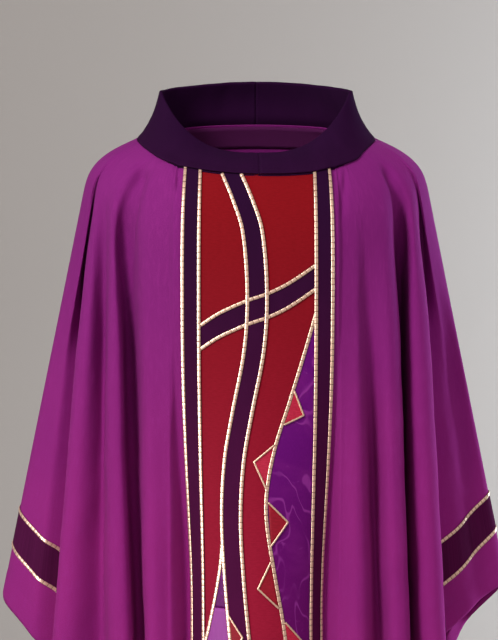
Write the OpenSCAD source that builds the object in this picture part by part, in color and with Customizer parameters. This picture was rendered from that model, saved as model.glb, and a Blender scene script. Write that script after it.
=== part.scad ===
// Full-cut chasuble of violet wool, hanging in the folds it takes when worn over lifted forearms.
// Millimetres, +Z up, the front faces -Y and +X is to the viewer's right.
// The origin is the middle of the neck opening, level with the sides of the neck seam.
//
// The cloth is described by slices. At each depth below the origin a plan-view curve runs from
// the centre line, through the valleys and ridges of the drape, out to the shoulder fold.
// Everything sewn to the cloth is placed by its distance across it and its depth.

/* [Neck and collar] */
// Half the width of the neck seam, side to side
neck_half_w = 157; // [145:1:165]
// Reach of the neck seam in front of the shoulder fold
neck_front = 130; // [115:1:140]
// Reach of the neck seam behind the shoulder fold
neck_back = 95; // [85:1:105]
// How far the seam dips at the centre of the front
neck_dip = 37; // [30:1:45]
// How far the seam rises at the centre of the back
neck_rise = 17; // [10:1:22]
// Half the width of the collar's upper edge
collar_half_w = 128; // [115:1:140]
// Height of the collar's upper edge at the sides
collar_side_h = 63; // [50:1:75]
// Height of the collar's upper edge at the centre back
collar_back_h = 74; // [60:1:85]
// Depth of the collar's upper edge at the centre front
collar_front_dip = 14; // [8:1:20]

/* [Cut and drape] */
// Half the width of the shoulders, carried up to the level of the origin
shoulder_half_w = 214; // [200:1:230]
// How far the shoulder fold spreads for each millimetre down
spread = 0.2085; // [0.18:0.005:0.24]
// Depth of the left wrist corner, where front and back part
wrist_depth_left = 610; // [560:1:640]
// Depth of the right wrist corner, on the arm held a little higher
wrist_depth_right = 590; // [540:1:620]
// Depth of the hem at the centre of the front
front_length = 1150; // [1080:5:1220]
// Depth of the hem at the centre of the back
back_length = 1200; // [1120:5:1270]
// Reach of the front in front of the shoulder fold, at the origin's level
front_reach = 160; // [145:1:175]
// Reach of the back behind the shoulder fold, at the origin's level
back_reach = 118; // [105:1:130]

/* [Orphrey and bands] */
// Half the width of the orphrey column
orphrey_half_w = 97.5; // [90:0.5:100]
// How far the front's orphrey hangs to the right of the centre line
orphrey_shift = 1.5; // [0:0.5:3]
// Width of each dark side band, with its braids
side_band_w = 25.5; // [20:0.5:30]
// Width of the bands that form the cross, with their braids
cross_band_w = 29; // [24:1:34]
// Width of the woven metallic braid
braid_w = 4.4; // [3:0.1:6]
// Width of the cord round each thorn
cord_w = 2.4; // [1.6:0.1:3.2]
// Thickness of the body cloth
cloth_t = 2; // [1.5:0.1:2.5]

/* [Hidden] */

wool = [0.55, 0.17, 0.50];
velvet = [0.16, 0.06, 0.19];
red_cloth = [0.56, 0.09, 0.13];
brocade = [0.40, 0.09, 0.44];
satin = [0.62, 0.26, 0.62];
braid_gold = [0.90, 0.80, 0.62];
thorn_rose = [0.76, 0.18, 0.31];
thorn_crimson = [0.58, 0.10, 0.18];
tape_cloth = [0.35, 0.12, 0.33];
canvas = [0.85, 0.83, 0.78];

// Folds from the centre line outwards, a valley first and then a ridge by turns. Each has its
// distance from the centre at the shoulders, the same at the wrists, how far it sinks into the
// cloth, the depth at which it starts, and how much further down it is fully grown.
folds_front_left = [
    [112, 111, 14, 200, 400], [138, 130, 4, 200, 400], [172, 151, 52, 20, 260],
    [186, 173, 0, 30, 300], [196, 203, 40, 20, 260], [207, 253, 0, 30, 260],
    [219, 257, 62, 35, 140], [228, 300, 30, 35, 300]
];
folds_front_right = [
    [110, 108, 22, 200, 430], [126, 130, 8, 200, 430], [137, 159, 42, 60, 430],
    [165, 184, 0, 30, 430], [186, 189, 86, 15, 240], [203, 234, 0, 20, 300],
    [216, 247, 68, 25, 200], [226, 298, 54, 30, 300]
];
folds_back_left = [
    [112, 110, 30, 250, 430], [136, 134, 6, 250, 430], [160, 158, 62, 60, 430],
    [182, 186, 0, 60, 430], [197, 216, 44, 50, 430], [209, 244, 0, 50, 430],
    [219, 262, 52, 60, 430], [226, 300, 0, 60, 430]
];
folds_back_right = [
    [112, 108, 30, 250, 430], [134, 130, 6, 250, 430], [158, 154, 60, 60, 430],
    [180, 180, 0, 60, 430], [196, 210, 48, 50, 430], [209, 238, 0, 50, 430],
    [220, 256, 58, 60, 430], [226, 300, 0, 60, 430]
];
shoulder_depth = 80;   // depth of the first distance in a fold
wrist_level = 650;     // depth of the second
centre_w = 104;        // cloth each side of the centre line that bends as one smooth arc

centre_front = [0, 16, 32, 48, 64, 80, 96];
centre_back = [0, 24, 48, 72, 96];
rows_front = 20;
rows_back = 17;
steps = 3;             // steps between one fold's valley and the next ridge

layer_t = 0.8;         // thickness of a sewn-on layer
layer_pitch = 1.3;     // from one sewn-on layer to the next
first_layer = 0.4;     // from the body cloth to the first layer
turned_in = 2;         // the collar's and facings' edges stand this far clear of a seam
facing_w = 32;
tape_w = 14;

// ---------------------------------------------------------------- small helpers

function lerp(a, b, t) = a + (b - a)*t;
function limit(x, low, high) = min(max(x, low), high);
function ease(t) = let (c = limit(t, 0, 1)) c*c*(3 - 2*c);
function unit(v) = v/norm(v);
function reversed(list) = [for (i = [len(list) - 1:-1:0]) list[i]];
function span(list, x) = max([0, for (i = [0:len(list) - 2]) if (list[i] <= x) i]);
function hermite(a, b, run_a, run_b, t) =
    (2*t*t*t - 3*t*t + 1)*a + (t*t*t - 2*t*t + t)*run_a
    + (3*t*t - 2*t*t*t)*b + (t*t*t - t*t)*run_b;

// Smooth curve through a few [place, value] points.
function slope(path, i) = let (a = path[max(i - 1, 0)], b = path[min(i + 1, len(path) - 1)])
    (b[1] - a[1])/(b[0] - a[0]);
function follow(path, x) =
    let (i = span([for (p = path) p[0]], x), a = path[i], b = path[i + 1], w = b[0] - a[0])
    hermite(a[1], b[1], slope(path, i)*w, slope(path, i + 1)*w, (x - a[0])/w);

// ---------------------------------------------------------------- slices of the drape

function folds(front, side) = front ? (side < 0 ? folds_front_left : folds_front_right)
                                    : (side < 0 ? folds_back_left : folds_back_right);
function side_x(d) = shoulder_half_w + spread*d;
function reach(front, d) = front ? front_reach + 0.045*d : back_reach + 0.10*d;
function centre_radius(front, d) =
    1/lerp(1/500, front ? 1/100 : 1/160, ease((d - 180)/430));

// One valley or ridge of a slice: [place, heading below the side direction, length of its run].
// The folds ease the heading, but the last one runs straight on to the shoulder fold.
function turning(fold, k, front, d) = let (
    xs = side_x(d), y0 = reach(front, d),
    x = min(lerp(fold[0], fold[1], (d - shoulder_depth)/(wrist_level - shoulder_depth)), 0.93*xs),
    grown = ease((d - fold[3])/fold[4]),
    sunk = fold[2]*grown*(1 + 0.25*max(0, d - 500)/wrist_level),
    round_x = asin(x/xs))
    [[x, y0*cos(round_x) - sunk],
     atan2(y0*sin(round_x), xs*cos(round_x))*(k == 8 ? 1 : 1 - 0.45*grown),
     1 + grown*(k % 2 == 1 ? -0.35 : 0.25)];

function turn_at(front, side, k, d) = let (r = centre_radius(front, d), a = centre_w/r*180/PI)
    k == 0 ? [[r*sin(a), reach(front, d) - r*(1 - cos(a))], a, 1]
    : k == 9 ? [[side_x(d), 0], 90, 1.15]
    : turning(folds(front, side)[k - 1], k, front, d);

// A column of the cloth is [segment, share of it], or [-1, distance] in the centre arc.
function centre_columns(front) = front ? centre_front : centre_back;
function columns(front) = [
    for (u = centre_columns(front)) [-1, u],
    for (k = [0:8], i = [0:steps - 1]) [k, i/steps],
    [8, 1]
];
function heading(turn, chord) = chord*turn[2]*[cos(turn[1]), -sin(turn[1])];
function slice_at(front, side, column, d) =
    column[0] < 0
    ? let (r = centre_radius(front, d), a = column[1]/r*180/PI)
        [r*sin(a), reach(front, d) - r*(1 - cos(a))]
    : let (a = turn_at(front, side, column[0], d), b = turn_at(front, side, column[0] + 1, d),
           chord = norm(b[0] - a[0]))
        hermite(a[0], b[0], heading(a, chord), heading(b, chord), column[1]);

// Distance across the cloth from the centre line to each column, measured at the wrists.
function distances(front, side) = let (
    p = [for (c = columns(front)) slice_at(front, side, c, 600)])
    [for (i = 0, s = 0; i < len(p); s = s + (i < len(p) - 1 ? norm(p[i + 1] - p[i]) : 0),
        i = i + 1) s];

// ---------------------------------------------------------------- neck and hem

neck_quarter_front = 226;   // seam length of a quarter of the neck, in front
neck_quarter_back = 200;
function neck_angle(front, s, total) = let (
    full = front ? neck_quarter_front : neck_quarter_back,
    n = s <= centre_w ? s : lerp(centre_w, full, (s - centre_w)/(total - centre_w)),
    plain = n/neck_half_w*180/PI, plain_full = full/neck_half_w*180/PI)
    plain + (90 - plain_full)*pow(n/full, 3);
function neck_depth(front, a) = front ? neck_dip*pow(max(0, cos(a)), 1.5) : -neck_rise*cos(a);
function wrist_depth(side) = side < 0 ? wrist_depth_left : wrist_depth_right;
// Hem at a share q of the way from the wrist corner; steep is how fast it drops at the corner.
function hem_depth(front, side, q) = let (
    wrist = wrist_depth(side), full = (front ? front_length : back_length) - wrist,
    steep = front ? 0.27 : 0.45)
    wrist + full*(steep*q + (3 - 2*steep)*q*q + (steep - 2)*q*q*q);

// Everything about one column: [side, column, neck angle, neck depth, hem depth].
function column_facts(front, side, column, s, total) = let (a = neck_angle(front, s, total))
    [side, column, a, neck_depth(front, a), hem_depth(front, side, 1 - s/total)];
function half_facts(front, side) = let (s = distances(front, side), c = columns(front))
    [for (i = [0:len(c) - 1]) column_facts(front, side, c[i], s[i], s[len(s) - 1])];
function all_facts(front) = let (left = half_facts(front, -1), right = half_facts(front, 1))
    [for (i = [len(left) - 1:-1:1]) left[i], each right];

function cloth_point(front, facts, d) = let (
    a = facts[2],
    seam = [neck_half_w*sin(a), (front ? neck_front : neck_back)*cos(a)],
    turn_over = lerp(80, front ? 200 : 150, cos(a)*cos(a)),
    t = limit((d - facts[3])/turn_over, 0, 1),
    p = lerp(seam, slice_at(front, facts[0], facts[1], d), 1 - pow(1 - t, 4)))
    [facts[0]*p[0], front ? -p[1] : p[1], -d];
function row_depth(facts, v) = facts[3] + (facts[4] - facts[3])*pow(v, 1.5);
function make_grid(front, facts) = let (rows = front ? rows_front : rows_back)
    [for (i = [0:rows - 1]) [for (f = facts) cloth_point(front, f, row_depth(f, i/(rows - 1)))]];

// Outward directions of a grid of points whose columns run to the right, seen from its face.
function directions(grid, flip) = let (h = len(grid), w = len(grid[0]))
    [for (i = [0:h - 1]) [for (j = [0:w - 1])
        let (down = grid[min(i + 1, h - 1)][j] - grid[max(i - 1, 0)][j],
             across = grid[i][min(j + 1, w - 1)] - grid[i][max(j - 1, 0)])
        flip*unit(cross(across, down))]];
function offset_grid(grid, dirs, by) =
    [for (i = [0:len(grid) - 1]) [for (j = [0:len(grid[0]) - 1]) grid[i][j] + by*dirs[i][j]]];

front_facts = all_facts(true);
back_facts = all_facts(false);
front_grid = make_grid(true, front_facts);
back_grid = make_grid(false, back_facts);
front_dirs = directions(front_grid, -1);
back_dirs = directions(back_grid, 1);
front_across_left = distances(true, -1);
front_across_right = distances(true, 1);
back_across_left = distances(false, -1);
back_across_right = distances(false, 1);

// ---------------------------------------------------------------- places on the cloth

function across_list(front, side) = front ? (side < 0 ? front_across_left : front_across_right)
                                          : (side < 0 ? back_across_left : back_across_right);
function half_width(front, side) = let (s = across_list(front, side)) s[len(s) - 1];

// Point down one column of the grid, off the face by a given amount.
function down_column(front, j, d, off) = let (
    f = (front ? front_facts : back_facts)[j], grid = front ? front_grid : back_grid,
    dirs = front ? front_dirs : back_dirs, rows = len(grid),
    r = pow(limit((d - f[3])/(f[4] - f[3]), 0, 1), 1/1.5)*(rows - 1),
    i = min(floor(r), rows - 2), a = grid[i][j], b = grid[i + 1][j],
    t = limit((-d - a[2])/(b[2] - a[2]), 0, 1))
    lerp(a, b, t) + off*unit(lerp(dirs[i][j], dirs[i + 1][j], t));

// Point at distance u from the centre line, negative to the left, at depth d.
function on_cloth(front, u, d, off) = let (
    side = u < 0 ? -1 : 1, s = across_list(front, side), k = span(s, abs(u)),
    middle = len(s) - 1, t = limit((abs(u) - s[k])/(s[k + 1] - s[k]), 0, 1))
    lerp(down_column(front, middle + side*k, d, off),
         down_column(front, middle + side*(k + 1), d, off), t);
function cloth_value(front, u, item) = let (
    side = u < 0 ? -1 : 1, s = across_list(front, side), k = span(s, abs(u)),
    middle = len(s) - 1, t = (abs(u) - s[k])/(s[k + 1] - s[k]),
    facts = front ? front_facts : back_facts)
    lerp(facts[middle + side*k][item], facts[middle + side*(k + 1)][item], t);
function top_of(front, u) = cloth_value(front, u, 3);
function hem_of(front, u) = cloth_value(front, u, 4);

// ---------------------------------------------------------------- solids from grids

// Closed skin between an outer and an inner grid. Rows run down and columns run to the right.
module shell(outer, inner) {
    h = len(outer);
    w = len(outer[0]);
    n = h*w;
    function at(i, j) = i*w + j;
    polyhedron(
        points = [for (row = outer) each row, for (row = inner) each row],
        faces = [
            for (i = [0:h - 2], j = [0:w - 2]) each let (
                a = at(i, j), b = at(i, j + 1), c = at(i + 1, j + 1), d = at(i + 1, j))
                [[a, b, c], [a, c, d], [n + a, n + c, n + b], [n + a, n + d, n + c]],
            for (j = [0:w - 2]) each let (a = at(0, j), b = at(h - 1, j))
                [[n + a, n + a + 1, a + 1], [n + a, a + 1, a],
                 [b, b + 1, n + b + 1], [b, n + b + 1, n + b]],
            for (i = [0:h - 2]) each let (a = at(i, 0), b = at(i, w - 1))
                [[n + a, a, a + w], [n + a, a + w, n + a + w],
                 [b, n + b, n + b + w], [b, n + b + w, b + w]]
        ]);
}

// A layer on the cloth whose [distance, depth] places are given row by row from its top.
module layer(front, places, low, high) {
    ordered = front ? places : [for (row = places) reversed(row)];
    shell([for (row = ordered) [for (p = row) on_cloth(front, p[0], p[1], high)]],
          [for (row = ordered) [for (p = row) on_cloth(front, p[0], p[1], low)]]);
}
module sewn(front, places, level) {
    low = first_layer + level*layer_pitch;
    layer(front, places, low, low + layer_t);
}

// Column of cloth from the neck to the hem, between two distances, in the body's own rows.
function full_length(front, u_list) = let (rows = front ? rows_front : rows_back)
    [for (i = [0:rows - 1]) [for (u = u_list)
        [u, lerp(top_of(front, u), hem_of(front, u), pow(i/(rows - 1), 1.5))]]];
// Ribbon down the cloth between two edges that are functions of the depth.
function ribbon_down(edge_a, edge_b, d_top, d_low, rows, cols) =
    [for (i = [0:rows]) let (d = lerp(d_top, d_low, i/rows))
        [for (j = [0:cols]) [lerp(edge_a(d), edge_b(d), j/cols), d]]];
// Ribbon across the cloth between two edges that are functions of the distance.
function ribbon_across(edge_a, edge_b, u_left, u_right, rows, cols) =
    [for (i = [0:rows]) [for (j = [0:cols]) let (u = lerp(u_left, u_right, j/cols))
        [u, lerp(edge_a(u), edge_b(u), i/rows)]]];

// ---------------------------------------------------------------- body

module front_panel() {
    color(wool) shell(front_grid, offset_grid(front_grid, front_dirs, -cloth_t));
}
module back_panel() {
    rows = [for (row = back_grid) reversed(row)];
    dirs = [for (row = back_dirs) reversed(row)];
    color(wool) shell(rows, offset_grid(rows, dirs, -cloth_t));
}

inside = -cloth_t - 0.4;   // face of a piece sewn to the back of the cloth

// Stay tape inside the shoulder fold, half on the front and half on the back.
module shoulder_tape(side) {
    depths = [for (i = [0:14]) lerp(12, wrist_depth(side) - 14, i/14)];
    function row(d, off) = [
        on_cloth(true, side*(half_width(true, side) - tape_w/2), d, off),
        on_cloth(true, side*half_width(true, side), d, off),
        on_cloth(false, side*(half_width(false, side) - tape_w/2), d, off)];
    outer = [for (d = depths) side > 0 ? row(d, inside) : reversed(row(d, inside))];
    inner = [for (d = depths)
        side > 0 ? row(d, inside - layer_t) : reversed(row(d, inside - layer_t))];
    color(tape_cloth) shell(outer, inner);
}

function body_columns(front, margin) = let (
    l = across_list(front, -1), r = across_list(front, 1))
    [for (i = [len(l) - 1:-1:1]) -min(l[i], l[len(l) - 1] - margin),
     for (i = [0:len(r) - 1]) min(r[i], r[len(r) - 1] - margin)];
module neck_facing(front) {
    places = [for (i = [0:2]) [for (u = body_columns(front, 8))
        [u, top_of(front, u) + turned_in + i/2*facing_w]]];
    color(tape_cloth) layer(front, places, inside - layer_t, inside);
}
module hem_facing(front) {
    places = [for (i = [0:1]) [for (u = body_columns(front, 12))
        [u, hem_of(front, u) - 1 - (1 - i)*facing_w]]];
    color(wool) layer(front, places, inside - layer_t, inside);
}

// ---------------------------------------------------------------- collar

collar_front = 72;     // reach of the upper edge in front
collar_behind = 85;    // and behind
// How far the band rounds outwards between its edges; at the sides it is drawn in a little.
function collar_swell(a) = lerp(6, -4, pow(sin(a), 2));
function neck_seam(a) = [neck_half_w*sin(a), -(cos(a) > 0 ? neck_front : neck_back)*cos(a),
                         -(cos(a) > 0 ? neck_dip*pow(cos(a), 1.5) : neck_rise*cos(a))];
function collar_edge(a) = [collar_half_w*sin(a),
    -(cos(a) > 0 ? collar_front : collar_behind)*cos(a),
    cos(a) > 0 ? lerp(-collar_front_dip, collar_side_h, pow(abs(sin(a)), 3))
               : lerp(collar_side_h, collar_back_h, cos(a)*cos(a))];
function collar_point(a, t) = let (
    out = unit([sin(a), -cos(a)*0.9, 0.45]))
    lerp(neck_seam(a), collar_edge(a), t) + collar_swell(a)*sin(180*t)*out;
// Half the collar, from the centre back on the left round to the centre front, or the mirror.
function collar_grid(side) = let (angles = [for (i = [0:22]) lerp(0.2, 179.8, i/22)])
    [for (i = [4:-1:0]) [for (a = side < 0 ? reversed(angles) : angles)
        collar_point(side*a, lerp(0.03, 1, i/4))]];
module collar_layer(side, low, high) {
    grid = collar_grid(side);
    dirs = directions(grid, -1);
    shell(offset_grid(grid, dirs, high), offset_grid(grid, dirs, low));
}
module collar_outer(side) { color(velvet) collar_layer(side, -1.8, 0); }
module collar_interfacing(side) { color(canvas) collar_layer(side, -3, -2.2); }
module collar_inner(side) { color(velvet) collar_layer(side, -5.2, -3.4); }

// ---------------------------------------------------------------- orphrey

// The cross leans and curves. Its paths are [depth, distance] or [distance, depth].
upright_path = [[30, -36], [70, -18], [110, -5], [190, 1], [260, -3], [340, -18], [400, -28],
    [470, -32], [540, -29], [640, -20], [760, -6], [900, 4], [1020, -2], [1150, -14]];
crossbar_path = [[-98, 262], [-70, 243], [-47, 228], [-12, 212], [14, 203], [41, 190],
    [76, 167], [99, 150]];
brocade_path = [[205, 78], [270, 59], [325, 42], [385, 23], [440, 13], [480, 13], [540, 22],
    [635, 38], [740, 46], [850, 40], [960, 28], [1060, 24], [1150, 30]];
wedge_path = [[500, -44], [530, -46], [570, -53], [620, -65], [650, -74], [700, -84]];
satin_top = 590;
// Thorns: the upper end of the base, the point, the lower end of the base, and the layer.
thorns = [
    [[48, 312], [60, 343], [35, 354], 2], [[22, 380], [-3, 401], [12, 435], 2],
    [[15, 453], [40, 479], [18, 509], 2], [[18, 529], [2, 563], [28, 589], 2],
    [[37, 608], [62, 636], [40, 662], 2], [[-36, 597], [-17, 626], [-33, 655], 3]
];
function orphrey_edge(front, side) = (front ? orphrey_shift : 0) + side*orphrey_half_w;
function side_inner(front, side) = orphrey_edge(front, side) - side*side_band_w;
function ground_columns(front) = let (
    left = orphrey_edge(front, -1), right = orphrey_edge(front, 1), c = centre_columns(front),
    both = [for (i = [len(c) - 1:-1:1]) -c[i], each c])
    [left, for (u = both) if (u > left + 2 && u < right - 2) u, right];

function upright_edge(d, share) = follow(upright_path, d) + share*cross_band_w/2;
function crossbar_edge(u, share) = follow(crossbar_path, u) + share*cross_band_w*0.6;

module orphrey_ground(front) {
    color(red_cloth) sewn(front, full_length(front, ground_columns(front)), 0);
}
module side_band(front, side) {
    outer = orphrey_edge(front, side);
    inner = side_inner(front, side);
    color(velvet) sewn(front, full_length(front, [min(inner, outer), max(inner, outer)]), 2);
}
// Braid down one edge of a side band; inner_edge is true for the edge nearer the centre.
module side_braid(front, side, inner_edge) {
    middle = inner_edge ? side_inner(front, side) + side*braid_w/2
                        : orphrey_edge(front, side) - side*braid_w/2;
    color(braid_gold)
        sewn(front, full_length(front, [middle - braid_w/2, middle + braid_w/2]), 4);
}

crossbar_from = side_inner(true, -1) + 1;
crossbar_to = side_inner(true, 1) - 1;
module crossbar_band() {
    color(velvet) sewn(true, ribbon_across(function(u) crossbar_edge(u, -1),
        function(u) crossbar_edge(u, 1), crossbar_from, crossbar_to, 2, 12), 1);
}
module crossbar_braid(edge) {
    share = 1 - 2*braid_w/cross_band_w;
    color(braid_gold) sewn(true, ribbon_across(
        function(u) crossbar_edge(u, edge < 0 ? -1 : share),
        function(u) crossbar_edge(u, edge < 0 ? -share : 1),
        crossbar_from, crossbar_to, 1, 14), 3);
}
module upright_band() {
    color(velvet) sewn(true, ribbon_down(function(d) upright_edge(d, -1),
        function(d) upright_edge(d, 1), neck_dip + 1, front_length - 1, 30, 2), 2);
}
module upright_braid(edge) {
    share = 1 - 2*braid_w/cross_band_w;
    color(braid_gold) sewn(true, ribbon_down(
        function(d) upright_edge(d, edge < 0 ? -1 : share),
        function(d) upright_edge(d, edge < 0 ? -share : 1),
        neck_dip + 1, front_length - 1, 34, 1), 4);
}
module brocade_panel() {
    color(brocade) sewn(true, ribbon_down(function(d) follow(brocade_path, d),
        function(d) side_inner(true, 1) + 5, 226, front_length - 1, 24, 4), 1);
}
module brocade_braid() {
    color(braid_gold) sewn(true, ribbon_down(
        function(d) follow(brocade_path, d) - braid_w/2,
        function(d) follow(brocade_path, d) + braid_w/2, 226, front_length - 1, 34, 1), 3);
}
// Left of the upright a second field opens: brocade above, and plain satin below it.
module brocade_wedge() {
    color(brocade) sewn(true, ribbon_down(function(d) follow(wedge_path, d),
        function(d) upright_edge(d, -0.9), 510, satin_top, 4, 1), 1);
}
module satin_wedge() {
    color(satin) sewn(true, ribbon_down(
        function(d) max(follow(wedge_path, min(d, 700)), side_inner(true, -1) - 3),
        function(d) upright_edge(d, -0.9), satin_top + 0.5, front_length - 1, 22, 3), 1);
}
module wedge_braid() {
    color(braid_gold) sewn(true, ribbon_down(
        function(d) follow(wedge_path, d) - braid_w/2,
        function(d) follow(wedge_path, d) + braid_w/2, 512, 640, 8, 1), 3);
}

// Places over a thorn in rows running down it, from its base at one side to its point.
function points_right(t) = t[1][0] > t[0][0];
function thorn_places(t) =
    [for (i = [0:3]) [for (j = [0:3])
        let (k = lerp(0.04, 1, points_right(t) ? 1 - j/3 : j/3))
        lerp(lerp(t[1], t[0], k), lerp(t[1], t[2], k), i/3)]];
module thorn(i) {
    t = thorns[i];
    places = thorn_places(t);
    color(i == 0 || i == 1 || i == 4 ? thorn_rose : thorn_crimson)
        sewn(true, points_right(t) ? places : [for (row = places) reversed(row)], t[3]);
}
// The two cords of a thorn, one down each side from its base to its point.
function cord_places(a, b) = let (
    first = a[1] < b[1] ? a : b, last = a[1] < b[1] ? b : a, dir = unit(last - first),
    aside = [dir[1], -dir[0]]*cord_w/2)
    [for (i = [0:4]) let (p = lerp(first, last, 0.04 + 0.92*i/4)) [p - aside, p + aside]];
module thorn_cords() {
    color(braid_gold) for (t = thorns) {
        sewn(true, cord_places(t[0], t[1]), t[3] + 1);
        sewn(true, cord_places(t[1], t[2]), t[3] + 1);
    }
}

// ---------------------------------------------------------------- sleeve bands

// Depth of a line round the sleeve, w from the shoulder fold, negative towards the back.
sleeve_band_w = 52;
function sleeve_line(side, w, share) = let (bend = side < 0 ? 30 : 12)
    (side < 0 ? 491 : 470) + share*sleeve_band_w
    + (side < 0 ? 0.53 : 0.57)*(1 + 0.16*share)*(sqrt(w*w + bend*bend) - bend)
    + 0.03*pow(max(0, abs(w) - (side < 0 ? 105 : 122)), 2);
function sleeve_hem(side, w) = let (front = w >= 0)
    hem_of(front, side*(half_width(front, side) - abs(w))) - 3;
function sleeve_point(side, w, d, off) = let (front = w >= 0)
    on_cloth(front, side*(half_width(front, side) - abs(w)), d, off);
function run_out(side, dir, share) =
    max([for (w = [20:4:420]) if (sleeve_line(side, dir*w, share) < sleeve_hem(side, dir*w)) w]);

// The body's own columns from the shoulder fold to where the strip runs off the hem.
function sleeve_stations(side, front, share) = let (
    half = half_width(front, side), end = run_out(side, front ? 1 : -1, share))
    [for (s = reversed(across_list(front, side))) if (half - s < end - 1) half - s, end];

module sleeve_strip(side, share_a, share_b, level, rows) {
    stations = [each reversed(-sleeve_stations(side, false, share_a)),
                for (w = sleeve_stations(side, true, share_a)) if (w > 0) w];
    low = first_layer + level*layer_pitch;
    function place(w, i, off) = sleeve_point(side, w,
        min(sleeve_line(side, w, lerp(share_a, share_b, i/rows)),
            sleeve_hem(side, w) - 3 + 3*i/rows), off);
    ordered = side < 0 ? stations : reversed(stations);
    shell([for (i = [0:rows]) [for (w = ordered) place(w, i, low + layer_t)]],
          [for (i = [0:rows]) [for (w = ordered) place(w, i, low)]]);
}
module sleeve_band(side) { color(velvet) sleeve_strip(side, 0, 1, 0, 2); }
module sleeve_braid(side, upper) {
    share = braid_w/sleeve_band_w;
    color(braid_gold)
        sleeve_strip(side, upper ? 0 : 1 - share, upper ? share : 1, 1, 1);
}

// ---------------------------------------------------------------- nodes

front_panel();
back_panel();
shoulder_tape(-1);  // shoulder_tape_left
shoulder_tape(1);  // shoulder_tape_right
neck_facing(true);  // neck_facing_front
neck_facing(false);  // neck_facing_back
hem_facing(true);  // hem_facing_front
hem_facing(false);  // hem_facing_back
collar_outer(-1);  // collar_outer_left
collar_outer(1);  // collar_outer_right
collar_interfacing(-1);  // collar_interfacing_left
collar_interfacing(1);  // collar_interfacing_right
collar_inner(-1);  // collar_inner_left
collar_inner(1);  // collar_inner_right
orphrey_ground(true);
side_band(true, -1);  // side_band_left
side_band(true, 1);  // side_band_right
side_braid(true, -1, false);  // side_braid_left_outer
side_braid(true, -1, true);  // side_braid_left_inner
side_braid(true, 1, true);  // side_braid_right_inner
side_braid(true, 1, false);  // side_braid_right_outer
crossbar_band();
crossbar_braid(-1);  // crossbar_braid_upper
crossbar_braid(1);  // crossbar_braid_lower
upright_band();
upright_braid(-1);  // upright_braid_left
upright_braid(1);  // upright_braid_right
brocade_panel();
brocade_braid();
brocade_wedge();
satin_wedge();
wedge_braid();
thorn(0);  // thorn_1
thorn(1);  // thorn_2
thorn(2);  // thorn_3
thorn(3);  // thorn_4
thorn(4);  // thorn_5
thorn(5);  // thorn_6
thorn_cords();
sleeve_band(-1);  // sleeve_band_left
sleeve_band(1);  // sleeve_band_right
sleeve_braid(-1, true);  // sleeve_braid_left_upper
sleeve_braid(-1, false);  // sleeve_braid_left_lower
sleeve_braid(1, true);  // sleeve_braid_right_upper
sleeve_braid(1, false);  // sleeve_braid_right_lower
orphrey_ground(false);  // back_orphrey_ground
side_band(false, -1);  // back_band_left
side_band(false, 1);  // back_band_right
side_braid(false, -1, false);  // back_braid_left_outer
side_braid(false, -1, true);  // back_braid_left_inner
side_braid(false, 1, true);  // back_braid_right_inner
side_braid(false, 1, false);  // back_braid_right_outer
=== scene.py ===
"""Looks of the chasuble: the cloth of every piece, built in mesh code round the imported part.

The drape is worked out as the part does it. Each quarter of the garment, front or back and left
or right, is a family of plan-view slices, one for each depth below the neck, that run through
the valleys and ridges of the folds. A place on the cloth is (u, d): u is the distance across
from the centre line, negative to the left, and d is the depth. Everything sewn on is laid out
in (u, d) and lifted off the cloth along its normal. Cloth maths is in millimetres.
"""
import math
from functools import partial

import bpy
import numpy as np
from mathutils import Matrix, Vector


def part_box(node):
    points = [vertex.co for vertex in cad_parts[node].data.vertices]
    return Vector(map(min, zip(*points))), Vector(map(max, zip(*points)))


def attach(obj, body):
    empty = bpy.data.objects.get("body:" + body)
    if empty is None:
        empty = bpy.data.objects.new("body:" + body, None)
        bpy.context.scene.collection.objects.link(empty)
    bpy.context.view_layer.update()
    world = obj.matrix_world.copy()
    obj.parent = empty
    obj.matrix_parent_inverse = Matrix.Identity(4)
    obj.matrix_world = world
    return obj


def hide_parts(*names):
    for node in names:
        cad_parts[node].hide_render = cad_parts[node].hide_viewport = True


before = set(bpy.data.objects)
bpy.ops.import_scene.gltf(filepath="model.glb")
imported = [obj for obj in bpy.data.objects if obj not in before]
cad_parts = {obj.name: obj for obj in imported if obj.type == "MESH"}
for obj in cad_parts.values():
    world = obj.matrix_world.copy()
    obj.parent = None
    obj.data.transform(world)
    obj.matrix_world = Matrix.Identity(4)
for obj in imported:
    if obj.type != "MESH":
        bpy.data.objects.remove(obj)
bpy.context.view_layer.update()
MM = 0.001
WHERE = {-1: "left", 1: "right"}

# --- sizes, as in the part
NECK_HALF_W, NECK_FRONT, NECK_BACK = 157.0, 130.0, 95.0
NECK_DIP, NECK_RISE = 37.0, 17.0
COLLAR_HALF_W, COLLAR_FRONT, COLLAR_BEHIND = 128.0, 72.0, 85.0
COLLAR_SIDE_H, COLLAR_BACK_H, COLLAR_FRONT_DIP = 63.0, 74.0, 14.0
SHOULDER_HALF_W, SPREAD = 214.0, 0.2085
WRIST_DEPTH = {-1: 610.0, 1: 590.0}
FRONT_LENGTH = -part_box("front_panel")[0].z/MM
BACK_LENGTH = -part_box("back_panel")[0].z/MM
ORPHREY_HALF_W, ORPHREY_SHIFT, SIDE_BAND_W, CROSS_BAND_W = 97.5, 1.5, 25.5, 29.0
BRAID_W, CORD_W, SLEEVE_BAND_W = 4.4, 2.4, 52.0
CENTRE_W = 104.0                # half width of the smooth arc at the centre line
SHOULDER_DEPTH, WRIST_LEVEL, MEASURE_DEPTH = 80.0, 650.0, 600.0
HEM_STEEP = {True: 0.27, False: 0.45}       # how fast the hem drops beside the wrist, by panel

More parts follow.
